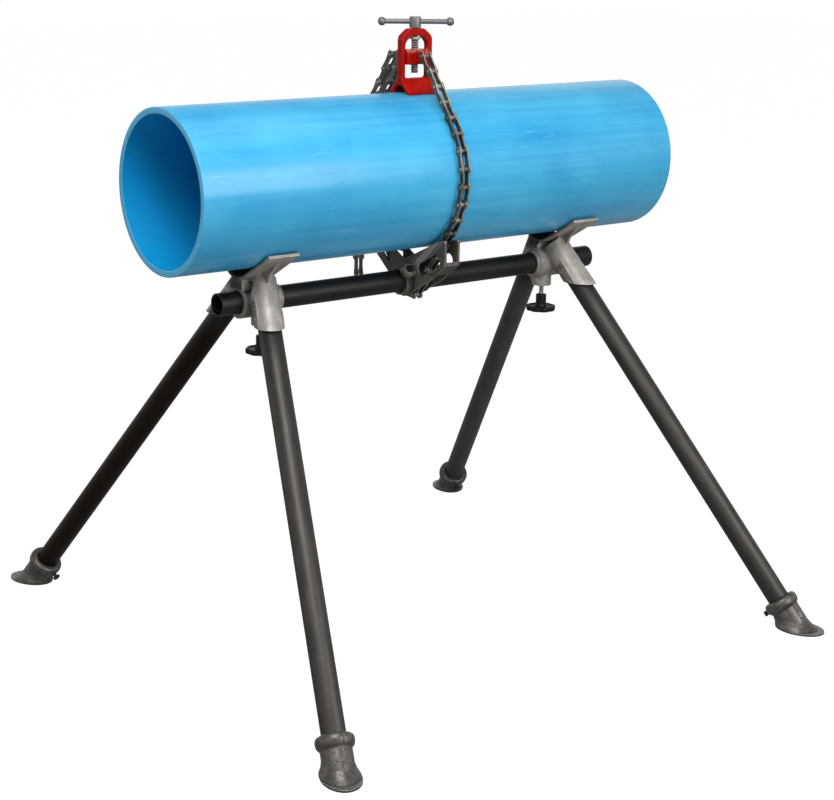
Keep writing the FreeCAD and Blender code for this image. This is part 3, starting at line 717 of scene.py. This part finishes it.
for title, side, sx in sides:
    s = headSizes
    work = cadCopy("head_" + side)
    for sy in (-1, 1):
        root, lean, out, outer = socketFrame(sx, sy)
        top, full, end = s["flareRun"]
        flare = [(s["bore"], top), (s["socket"], top), (s["flare"], full)]
        flare += [(s["flare"], end), (s["bore"], end)]
        levelCut(work, flare, root, lean, s["mouth"])
        for turn, low in ((s["outer"], s["outerEnd"]), (-s["inner"], s["innerEnd"])):
            angle = math.radians(turn)
            away = out * math.cos(angle) + outer * math.sin(angle)
            first = root + lean * s["seamTop"] + away * s["seamRadii"][0]
            last = root + lean * low + away * s["seamRadii"][1]
            ridgeBar(work, first, last, away, s["seamHalf"], s["seam"])
    casting = sandCast("headCasting" + title, work, headPaint, s["cell"], s["passes"])
    pittedAndShaded(casting, sx)
    onBody(casting, side + "_trestle", "casting_silver", "head_" + side)


# Feet

print("feet")

footSizes = {
    "bead": 38.3, "beadTop": 896.5, "groove": 0.9, "grooveHalf": (1.6, 0.5), "grooveRun": ((-1, 1), (27, 23)),
    "seam": 0.2, "seamTop": 923, "seamFront": 956, "seamBack": 934, "seamRadii": (30.6, 30.9),
    "seamHalf": 1.8, "seamHigh": 2.2, "cell": 1.2, "passes": 5,
}


def footFront(sy, lean):
    front = Vector((0, sy, 0))
    return (front - lean * front.dot(lean)).normalized()


def seamed(piece, sx):
    f = footSizes
    seams = []
    frames = {sy: legLine(sx, sy) for sy in (-1, 1)}
    for vertex in piece.data.vertices:
        spot = vertex.co / mm
        sy = -1 if spot.y < 0 else 1
        root, lean = frames[sy]
        out = Matrix.Rotation(f["seam"] * sx * sy, 3, lean) @ footFront(sy, lean)
        arm = spot - root
        along = arm.dot(lean) - f["beadTop"]
        near = held(abs(arm.dot(lean.cross(out))), *f["grooveHalf"])
        seams.append(near * held(along, *f["grooveRun"][0]) * held(along, *f["grooveRun"][1]))
    pushed(piece.data, [-f["groove"] * near for near in seams])
    marked(piece.data, seam=seams)


for title, side, sx in sides:
    f = footSizes
    work = cadCopy("feet_" + side)
    for sy in (-1, 1):
        root, lean = legLine(sx, sy)
        bead = [(27, 0.5), (31, 0), (35.5, 1.5), (f["bead"] - 0.7, 5), (f["bead"], 11)]
        bead += [(f["bead"] - 0.7, 17), (35.5, 22), (31, 26), (27, 25)]
        turned(work, [(radius, f["beadTop"] + along) for radius, along in bead], root, lean)
        for turn, low in ((f["seam"], f["seamFront"]), (f["seam"] + math.pi, f["seamBack"])):
            seam = Matrix.Rotation(turn * sx * sy, 3, lean) @ footFront(sy, lean)
            first = root + lean * f["seamTop"] + seam * f["seamRadii"][0]
            last = root + lean * low + seam * f["seamRadii"][1]
            ridgeBar(work, first, last, seam, f["seamHalf"], f["seamHigh"])
    shoes = sandCast("feetCasting" + title, work, footPaint, f["cell"], f["passes"])
    seamed(shoes, sx)
    onBody(shoes, side + "_trestle", "foot_iron", "feet_" + side)


# Geometry recipes: screw threads and chain links

class Recipe(Graph):
    def __init__(self, name, **inputs):
        super().__init__(bpy.data.node_groups.new(name, "GeometryNodeTree"))
        face = self.tree.interface
        self.ids, self.inputs = {}, {}
        shape = face.new_socket(name="Geometry", in_out="INPUT", socket_type="NodeSocketGeometry")
        face.new_socket(name="Geometry", in_out="OUTPUT", socket_type="NodeSocketGeometry")
        kinds = {float: "Float", int: "Int", tuple: "Vector"}
        for key, value in inputs.items():
            kind = kinds.get(type(value), "Material")
            socket = face.new_socket(name=key, in_out="INPUT", socket_type="NodeSocket" + kind)
            if kind != "Material":
                socket.default_value = value
            self.ids[key] = socket.identifier
        self.entry = self.tree.nodes.new("NodeGroupInput")
        self.shape = Wire(self, self.entry.outputs["Geometry"])
        for key in inputs:
            self.inputs[key] = Wire(self, self.entry.outputs[key])

    def geo(self, kind, settings=None, sockets=None, output=0):
        return self.node("GeometryNode" + kind, settings, sockets, output)

    def drum(self, around, rows, depth=1.0):
        sockets = {"Vertices": around, "Side Segments": rows, "Radius": 1.0, "Depth": depth}
        return self.geo("MeshCylinder", {"fill_type": "NGON"}, sockets)

    def vector(self, *values):
        return self.node("ShaderNodeCombineXYZ", {}, dict(enumerate(values)))

    def moved(self, shape, spot):
        return self.geo("SetPosition", {}, {"Geometry": shape, "Position": spot})

    def named(self, name):
        return self.geo("InputNamedAttribute", {"data_type": "FLOAT"}, {"Name": name})

    def gathered(self, pieces):
        join = self.geo("JoinGeometry")
        for piece in pieces:
            self.tree.links.new(piece.socket, join.socket.node.inputs[0])
        return join

    def end(self, shape, finishes):
        realized = self.geo("RealizeInstances", {}, {0: shape})
        for selection, finish in finishes:
            sockets = {"Geometry": realized, "Material": self.inputs[finish]}
            if selection:
                sockets["Selection"] = selection
            realized = self.geo("SetMaterial", {}, sockets)
        outlet = self.tree.nodes.new("NodeGroupOutput")
        self.tree.links.new(realized.socket, outlet.inputs["Geometry"])

    def grow(self, name, mesh, values):
        holder = linked(bpy.data.objects.new(name + "Holder", mesh))
        modifier = holder.modifiers.new(name, "NODES")
        modifier.node_group = self.tree
        for key, value in values.items():
            modifier[self.ids[key]] = value
        return settled(holder, name)


def threadRecipe():
    r = Recipe(
        "threadedRod", Radius=6.0, Depth=0.8, Lead=3.0, Length=60.0, Chamfer=1.5, Rows=10.0,
        Foot=(0.0, 0.0, 0.0), Finish=None,
    )
    length, depth, lead = r.inputs["Length"], r.inputs["Depth"], r.inputs["Lead"]
    rod = r.drum(28, r.node("FunctionNodeFloatToInt", {}, {0: length / lead * r.inputs["Rows"]}), length)
    x, y, z = r.parts(r.geo("InputPosition"))
    up = z + length * 0.5
    phase = z / lead + r.calc("ARCTAN2", y, x) / (2 * math.pi)
    tooth = abs(r.calc("FRACT", phase) - 0.5) * 2.0
    flank = (tooth * 1.7 - 0.35).most(0.0).least(1.0)  # flat crest, slanted flank, flat root
    chamfer = (r.inputs["Chamfer"] - up.least(length - up)).most(0.0)
    radius = r.inputs["Radius"] - depth * flank.most((chamfer / depth).least(1.6))
    spot = r.vector(x * radius, y * radius, z)
    spot = r.node("ShaderNodeVectorMath", {"operation": "ADD"}, {0: spot, 1: r.inputs["Foot"]})
    spot = r.node("ShaderNodeVectorMath", {"operation": "SCALE"}, {0: spot, "Scale": mm})
    r.end(r.moved(rod, spot), [(None, "Finish")])
    return r


threads = threadRecipe()


def threaded(name, finish, radius, depth, lead, x, y, low, high):
    values = {"Radius": radius, "Depth": depth, "Lead": lead, "Length": high - low, "Chamfer": 1.2}
    values.update(Foot=(x, y, (low + high) / 2), Finish=finish)
    return threads.grow(name, bpy.data.meshes.new(name + "Seed"), values)


def linkRecipe():
    r = Recipe(
        "chainLinks", Pitch=38.1, Eye=9.5, Waist=6.0, Inside=5.2, Join=8.0, Outside=10.8, Chamfer=0.6,
        Gap=0.1, Pin=3.4, Head=1.0, Barrel=4.9, Seed=7, Plate=None, Edge=None, Rivet=None,
    )
    pitch, chamfer, gap = r.inputs["Pitch"], r.inputs["Chamfer"], r.inputs["Gap"]
    x, y, z = r.parts(r.geo("InputPosition"))
    rim = abs(z).over(0.34)  # the drums' end faces, set in by the chamfer

    def plate(inner, outer):
        eye = r.inputs["Eye"] - chamfer * rim
        waist = r.inputs["Waist"] - chamfer * rim
        slide = (x * 2.4).least(1.0).most(-1.0)  # stretches the drum's middle to a waisted bar
        along = slide * pitch * 0.5 + x * eye
        wide = y * (waist + (eye - waist) * (slide * slide))
        flank = r.calc("SIGN", z) * ((outer - inner) * 0.5 - chamfer * (1.0 - rim))
        return r.moved(r.drum(36, 3), r.vector(flank + (outer + inner) * 0.5, along, wide))

    def stub(radius, half, bevel, end):
        size = radius - rim * bevel
        flank = r.calc("SIGN", z) * (half - (1.0 - rim) * bevel)
        return r.moved(r.drum(14, 3), r.vector(flank, x * size + pitch * (0.5 * end), y * size))

    inside, joint, outside = r.inputs["Inside"], r.inputs["Join"], r.inputs["Outside"]
    plates = [plate(joint + gap, outside), plate(outside * -1.0, joint * -1.0 - gap)]
    pins = [stub(r.inputs["Pin"], outside + r.inputs["Head"], 0.7, end) for end in (-1, 1)]
    outer = r.gathered(plates + pins)
    plates = [plate(inside, joint - gap), plate(joint * -1.0 + gap, inside * -1.0)]
    barrels = [stub(r.inputs["Barrel"], inside + 0.2, 0.2, end) for end in (-1, 1)]
    inner = r.gathered(plates + barrels)

    wide = r.named("wide")
    shared = {"Points": r.shape, "Rotation": r.vector(r.named("lean")), "Scale": (mm, mm, mm)}
    laid = []
    for kind, which in ((outer, wide.over(0.5)), (inner, 0.5 - wide)):
        laid.append(r.geo("InstanceOnPoints", {}, {"Selection": which.over(0.0), "Instance": kind, **shared}))
    tone = r.node("FunctionNodeRandomValue", {"data_type": "FLOAT"}, {"Seed": r.inputs["Seed"]}, 1)
    sockets = {"Geometry": r.gathered(laid), "Name": "tone", "Value": tone}
    links = r.geo("StoreNamedAttribute", {"domain": "INSTANCE"}, sockets)
    face = abs(r.parts(r.geo("InputNormal"))[0])
    spot = r.parts(r.geo("InputPosition"))[0]
    proud = abs(spot - r.named("middle")).over(outside * mm + 0.00005)
    r.end(links, [(None, "Plate"), ((0.93 - face).over(0.0), "Edge"), (proud, "Rivet")])
    return r


# Chain path: pins one pitch apart along straights tangent to a circle round the pipe

print("chain")

chainSizes = {
    "pitch": 38.1, "centre": 1000, "x": 4.5, "loopRadius": 178.5, "tailRadius": 199.5, "bottom": 728.9,
    "leave": 127.15, "crest": -7, "links": 16, "tailLinks": 14, "tailHeld": 8, "tailUpper": 11,
}


def clock(angle):
    return Vector((math.sin(angle), math.cos(angle)))


def runPoint(start, radius, first, last, distance):
    centre = Vector((0, chainSizes["centre"]))
    on = centre + clock(first) * radius
    lead, arc = (on - start).length, radius * abs(last - first)
    turn = math.copysign(1, last - first)
    if distance < lead:
        return start + (on - start) * (distance / lead)
    angle = first + turn * min(distance - lead, arc) / radius
    heading = Vector((math.cos(angle), -math.sin(angle))) * turn
    return centre + clock(angle) * radius + heading * max(distance - lead - arc, 0)


def pinsAlong(run, count):
    pins, distance = [run[0]], 0.0
    for _ in range(count):
        low, high = distance + 0.9 * chainSizes["pitch"], distance + 1.2 * chainSizes["pitch"]
        for _ in range(50):
            middle = (low + high) / 2
            near = (runPoint(*run, middle) - pins[-1]).length < chainSizes["pitch"]
            low, high = (middle, high) if near else (low, middle)
        distance = high
        pins.append(runPoint(*run, distance))
    return pins


def touchAngle(point, radius, turn):
    offset = point - Vector((0, chainSizes["centre"]))
    return math.atan2(offset.x, offset.y) + turn * math.acos(radius / offset.length)


s = chainSizes
bottomPin = Vector((s["pitch"] / 2, s["bottom"]))
leave = math.pi - math.radians(s["leave"])
rear = pinsAlong((bottomPin, s["loopRadius"], touchAngle(bottomPin, s["loopRadius"], -1), leave), s["links"])
loopPins = [Vector((-p.x, p.y)) for p in reversed(rear)] + rear
crest = math.radians(s["crest"])
crestPin = rear[-1] + Vector((math.cos(crest), math.sin(crest))) * s["pitch"]
tailRun = (crestPin, s["tailRadius"], touchAngle(crestPin, s["tailRadius"], 1), math.pi / 2)
tailPins = [rear[-1]] + pinsAlong(tailRun, s["tailLinks"])

links = linkRecipe()


def linkRun(name, pairs, body, *nodes):
    spots, leans, wides = [], [], []
    for start, end, wide in pairs:
        middle = (start + end) / 2
        spots.append(Vector((s["x"], middle.x, middle.y)) * mm)
        leans.append(math.atan2(end.y - start.y, end.x - start.x))
        wides.append(1.0 if wide else 0.0)
    seed = bpy.data.meshes.new(name + "Spots")
    seed.from_pydata(spots, [], [])
    marked(seed, lean=leans, wide=wides, middle=[s["x"] * mm] * len(spots))
    finishes = {"Plate": linkPaint, "Edge": linkEdgePaint, "Rivet": pinPaint}
    piece = dressed(name, links.grow(name, seed, finishes), None, sharp=30)
    onBody(piece, body, "chain_steel", *nodes)


loopPairs = [(a, b, i % 2 == 0) for i, (a, b) in enumerate(zip(loopPins, loopPins[1:]))]
tailPairs = [(a, b, i % 2 == 1) for i, (a, b) in enumerate(zip(tailPins, tailPins[1:]))]
fixedNodes = ("chain_outer_links", "chain_inner_links", "tail_outer_links", "tail_inner_links")
linkRun("chainLoop", loopPairs + tailPairs[:s["tailHeld"]], "vise", *fixedNodes)
linkRun("chainStrandUpper", tailPairs[s["tailHeld"]:s["tailUpper"]], "tail_upper", "tail_strand_upper")
linkRun("chainStrandLower", tailPairs[s["tailUpper"]:], "tail_lower", "tail_strand_lower")


# Anchor casting, and the set screws in it and in the feet

print("anchor")

anchorSizes = {
    "screwX": -25.5, "rise": 43, "ribHalf": 6, "rib": ((-29, 778), (-34.5, 779), (-34, 750), (-29.5, 742)),
    "boss": ((6, 30, 0), (15.5, 30, 0), (17.2, 37, 2), (16.8, 43.2, 1.5), (6, 43.2, 0)),
    "cell": 1.1, "passes": 4,
}
setScrews = {
    "anchor": {"gap": 0.4, "neck": 43.4, "end": 51, "shank": 5.4, "half": 6},
    "foot": {"gap": 0.2, "neck": 43, "end": 49.5, "shank": 4.4, "half": 5.7, "along": 912},
}

s = anchorSizes
work = cadCopy("anchor_casting")
rise = math.radians(s["rise"])
aim = Vector((0, -math.cos(rise), math.sin(rise)))
bossBase = Vector((s["screwX"], 0, railSizes["height"]))
near = [Vector((s["screwX"] - s["ribHalf"], y, z)) * mm for y, z in s["rib"]]
walled(work, [near, [point + Vector((s["ribHalf"] * 2, 0, 0)) * mm for point in near]])
turned(work, eased(s["boss"]), bossBase, aim, around=48)
casting = sandCast("anchorBody", work, anchorPaint, s["cell"], s["passes"])
onBody(casting, "vise", "casting_grey", "anchor_casting")


def squareScrew(bm, base, aim, sizes):
    start, neck, end = railSizes["radius"] + sizes["gap"], sizes["neck"], sizes["end"]
    shank, corner = sizes["shank"], sizes["half"] * 1.414
    pin = [(0, start, 0), (shank, start, 0), (shank, neck, 0), (0, neck, 0)]
    turned(bm, eased(pin), base, aim, around=20)
    head = [(0, neck), (sizes["half"] * 1.32, neck), (corner, neck + 0.7), (corner, end - 1)]
    head += [(sizes["half"] * 1.2, end), (0, end)]
    turned(bm, head, base, aim, around=4, first=math.pi / 4)


work = bmesh.new()
squareScrew(work, bossBase, aim, setScrews["anchor"])
onBody(asPiece("anchorSetScrew", work, screwPaint, sharp=25), "vise", "screw_black", "anchor_screw")

for title, side, sx in sides:
    work = bmesh.new()
    for sy in (-1, 1):
        root, lean = legLine(sx, sy)
        outward = Vector((lean.x, lean.y, 0)).normalized()
        away = Vector((outward.x * lean.z, outward.y * lean.z, -math.hypot(lean.x, lean.y)))
        squareScrew(work, root + lean * setScrews["foot"]["along"], away, setScrews["foot"])
    screws = asPiece("footScrews" + title, work, screwPaint, sharp=25)
    onBody(screws, side + "_trestle", "screw_black", "foot_screws_" + side)


# Clamp knobs and studs

print("clamps")

knobSizes = {
    "x": 386, "low": 645.5, "radius": 34.5, "dip": 2.8, "lobes": 8, "around": 96, "hub": 12, "top": 683.7,
    "layers": (
        (0, 0.9), (0.6, 0.95), (2.2, 0.99), (4, 1), (8.5, 1), (10.6, 0.98), (11.5, 0.93),
        (11.3, 0.86), (9.6, 0.78), (9.4, 0.45),
    ),
    "neck": ((0, 653, 0), (15, 653, 0), (12.2, 662, 4)),
}
studSizes = {"radius": 5.5, "depth": 0.75, "lead": 1.75, "low": 684.0, "high": 735.5}

for title, side, sx in sides:
    k, around = knobSizes, knobSizes["around"]
    outline = []
    for i in range(around):
        angle = 2 * math.pi * i / around
        radius = k["radius"] - k["dip"] * (0.5 + 0.5 * math.cos(k["lobes"] * angle)) ** 3
        outline.append(Vector((math.cos(angle), math.sin(angle), 0)) * radius)
    layers = []
    for up, size in k["layers"]:
        middle = Vector((k["x"] * sx, 0, k["low"] + up))
        layers.append([(middle + spot * size) * mm for spot in outline])
    work = bmesh.new()
    walled(work, layers)
    hub = eased([*k["neck"], (k["hub"], k["top"], 1.2), (0, k["top"], 0)])
    turned(work, hub, (k["x"] * sx, 0, 0), (0, 0, 1), around=48)
    knob = asPiece("clampKnob" + title, work, knobPaint, sharp=40)
    onBody(knob, side + "_knob", "knob_black", "clamp_knob_" + side)
    t = studSizes
    sizes = (t["radius"], t["depth"], t["lead"], k["x"] * sx, 0, t["low"], t["high"])
    stud = threaded("clampStud" + title, studPaint, *sizes)
    stud = dressed("clampStud" + title, stud, None, sharp=30)
    onBody(stud, side + "_stud", "stud_steel", "clamp_stud_" + side)


# Yoke, nut block, screw and tee bar

print("yoke and screw")

yokeSizes = {"cell": 0.95, "passes": 5, "nutCell": 0.8, "nutPasses": 4}
screwSizes = {
    "x": 4.5, "low": 1208.5, "collar": 1279, "collarHigh": 1284, "collarRadius": 11.5, "hubLow": 1303,
    "hubHigh": 1326, "hub": 12.5, "neck": 5.5, "radius": 8.3, "tooth": 2.1, "lead": 5.08,
}
teeSizes = {
    "height": 1316, "half": 73, "shift": 2, "radius": 5.25, "barHalf": 65.6, "turn": 30,
    "ball": 9, "shoulder": ((0, -7.3), (5.6, -7.3), (6.2, -6.5)), "tip": ((3.4, 8.2), (0, 8.2)),
}

yoke = sandCast("yokeCasting", cadCopy("yoke"), yokePaint, yokeSizes["cell"], yokeSizes["passes"])
onBody(yoke, "yoke", "vise_red", "yoke")
nut = sandCast("nutCasting", cadCopy("nut_block"), nutPaint, yokeSizes["nutCell"], yokeSizes["nutPasses"])
onBody(nut, "vise", "vise_red", "nut_block")

s = screwSizes
work = bmesh.new()
sizes = (s["radius"], s["tooth"], s["lead"], s["x"], 0, s["low"], s["collar"] + 1)
work.from_mesh(threaded("spindleThread", None, *sizes))
hub = [(0, s["collar"], 0), (s["collarRadius"], s["collar"], 0.8), (s["collarRadius"], s["collarHigh"], 0.8)]
hub += [(s["neck"], s["collarHigh"], 0), (s["neck"], s["hubLow"], 0), (s["hub"], s["hubLow"], 1)]
hub += [(s["hub"], s["hubHigh"], 1.4), (0, s["hubHigh"], 0)]
turned(work, eased(hub), (s["x"], 0, 0), (0, 0, 1))
spindle = asPiece("spindleScrew", work, spindlePaint, sharp=35)
spindle.data.materials.append(teePaint)
for face in spindle.data.polygons:
    face.material_index = 1 if face.center.z > (s["hubLow"] - 0.5) * mm else 0
onBody(spindle, "screw", "handle_zinc", "spindle")

t = teeSizes
turn = math.radians(t["turn"])
along = Vector((math.cos(turn), -math.sin(turn), 0))
middle = Vector((s["x"], 0, t["height"])) + along * t["shift"]
work = bmesh.new()
end = t["barHalf"]
bar = [(0, -end, 0), (t["radius"], -end, 0.3), (t["radius"], end, 0.3), (0, end, 0)]
turned(work, eased(bar), middle, along, around=40)
onBody(asPiece("teeBarRod", work, teePaint, sharp=40), "handle", "handle_zinc", "tee_bar")

ball = list(t["shoulder"])
for k in range(13):
    angle = math.radians(-42 + k * 9)
    spot = (t["ball"] * math.cos(angle), t["ball"] * math.sin(angle))
    if spot[1] < t["tip"][0][1] - 0.1:
        ball.append(spot)
ball += t["tip"]
work = bmesh.new()
for sign in (-1, 1):
    turned(work, ball, middle + along * (t["half"] * sign), along * sign, around=40)
onBody(asPiece("teeBallEnds", work, teePaint, sharp=40), "handle", "handle_zinc", "tee_bar_ends")


# Floor, lights and camera

print("floor, lights and camera")

roomSizes = {
    "floor": 40.0, "white": 0.85, "glow": 1.135, "mirror": 0.26, "bounce": 0.45, "pale": 0.9, "room": 0.2,
    "ceiling": 0.3, "sweep": (0.15, 0.6),
}


def rays(graph):
    kinds = ("Is Camera Ray", "Is Glossy Ray", "Is Transmission Ray")
    path = [graph.node("ShaderNodeLightPath", {}, {}, kind) for kind in kinds]
    return path[0], path[0].most(path[1]).most(path[2])


def grey(value):
    return value, value, value, 1.0


def paleFloor():
    f = Finish("floorPale", {"Roughness": 0.9, "Specular IOR Level": 0.1})
    direct, seen = rays(f)
    f.feed(Base_Color=f.mixed(direct, grey(roomSizes["bounce"]), grey(roomSizes["pale"])))
    strength = roomSizes["glow"] * (direct + (1 - direct) * roomSizes["mirror"])
    glow = f.node("ShaderNodeEmission", {}, {"Color": grey(1), "Strength": strength})
    body = Wire(f, f.shader.outputs[0])
    both = f.node("ShaderNodeMixShader", {}, {0: seen * roomSizes["white"], 1: body, 2: glow})
    f.tree.links.new(both.socket, f.surface.inputs["Surface"])
    return f.material


work = bmesh.new()
half = roomSizes["floor"] / 2
work.faces.new([work.verts.new((x * half, y * half, 0)) for x, y in ((-1, -1), (1, -1), (1, 1), (-1, 1))])
asPiece("studioFloor", work, paleFloor(), sharp=0)

world = bpy.data.worlds.new("studioRoom")
bpy.context.scene.world = world
world.use_nodes = True
room = Graph(world.node_tree)
world.node_tree.nodes.clear()
seen = rays(room)[1]
height = room.parts(room.node("ShaderNodeTexCoord", {}, {}, "Generated"))[2]
low, high = roomSizes["sweep"]
sockets = {"Value": height, "From Min": low, "From Max": high, "To Min": 1.0, "To Max": roomSizes["ceiling"]}
sweep = room.node("ShaderNodeMapRange", {"interpolation_type": "SMOOTHSTEP"}, sockets)
strength = roomSizes["room"] * (1 - seen) + seen * sweep
sky = room.node("ShaderNodeBackground", {}, {"Color": grey(1), "Strength": strength})
outlet = world.node_tree.nodes.new("ShaderNodeOutputWorld")
world.node_tree.links.new(sky.socket, outlet.inputs["Surface"])

lamps = {
    "keySoftbox": {"at": (-1.6, -1.75, 3.6), "size": 1.8, "power": 100},
    "frontSoftbox": {"at": (0.9, -3.8, 2.0), "size": 2.0, "power": 78},
    "topSoftbox": {"at": (0.2, -0.3, 3.9), "size": 2.2, "power": 18},
    "leftSoftbox": {"at": (-3.2, -1.0, 2.0), "size": 1.2, "power": 9},
}
lampsAim = Vector((0, 0, 0.85))
for name, lamp in lamps.items():
    light = bpy.data.lights.new(name, "AREA")
    light.shape = "SQUARE"
    light.size = lamp["size"]
    light.energy = lamp["power"]
    holder = linked(bpy.data.objects.new(name, light))
    holder.location = lamp["at"]
    holder.rotation_euler = (lampsAim - Vector(lamp["at"])).to_track_quat("-Z", "Y").to_euler()

cameraSizes = {
    "at": (-2.39984, -3.14698, 1.54826), "turn": -37.62, "dip": 15.03, "roll": 0.91,
    "focal": 1832.3, "wide": 834, "sensor": 36,
}
turn, dip, roll = (math.radians(cameraSizes[key]) for key in ("turn", "dip", "roll"))
forward = Vector((-math.sin(turn) * math.cos(dip), math.cos(turn) * math.cos(dip), -math.sin(dip)))
level = forward.cross(Vector((0, 0, 1))).normalized()
upright = level.cross(forward)
right = level * math.cos(roll) + upright * math.sin(roll)
up = upright * math.cos(roll) - level * math.sin(roll)
lens = bpy.data.cameras.new("studioCamera")
lens.sensor_fit = "HORIZONTAL"
lens.sensor_width = cameraSizes["sensor"]
lens.lens = cameraSizes["focal"] / cameraSizes["wide"] * cameraSizes["sensor"]
lens.clip_end = 100
camera = linked(bpy.data.objects.new("studioCamera", lens))
facing = Matrix((right, up, -forward)).transposed().to_4x4()
camera.matrix_world = Matrix.Translation(cameraSizes["at"]) @ facing
bpy.context.scene.camera = camera
bpy.context.scene.view_settings.view_transform = "Standard"

print("done")
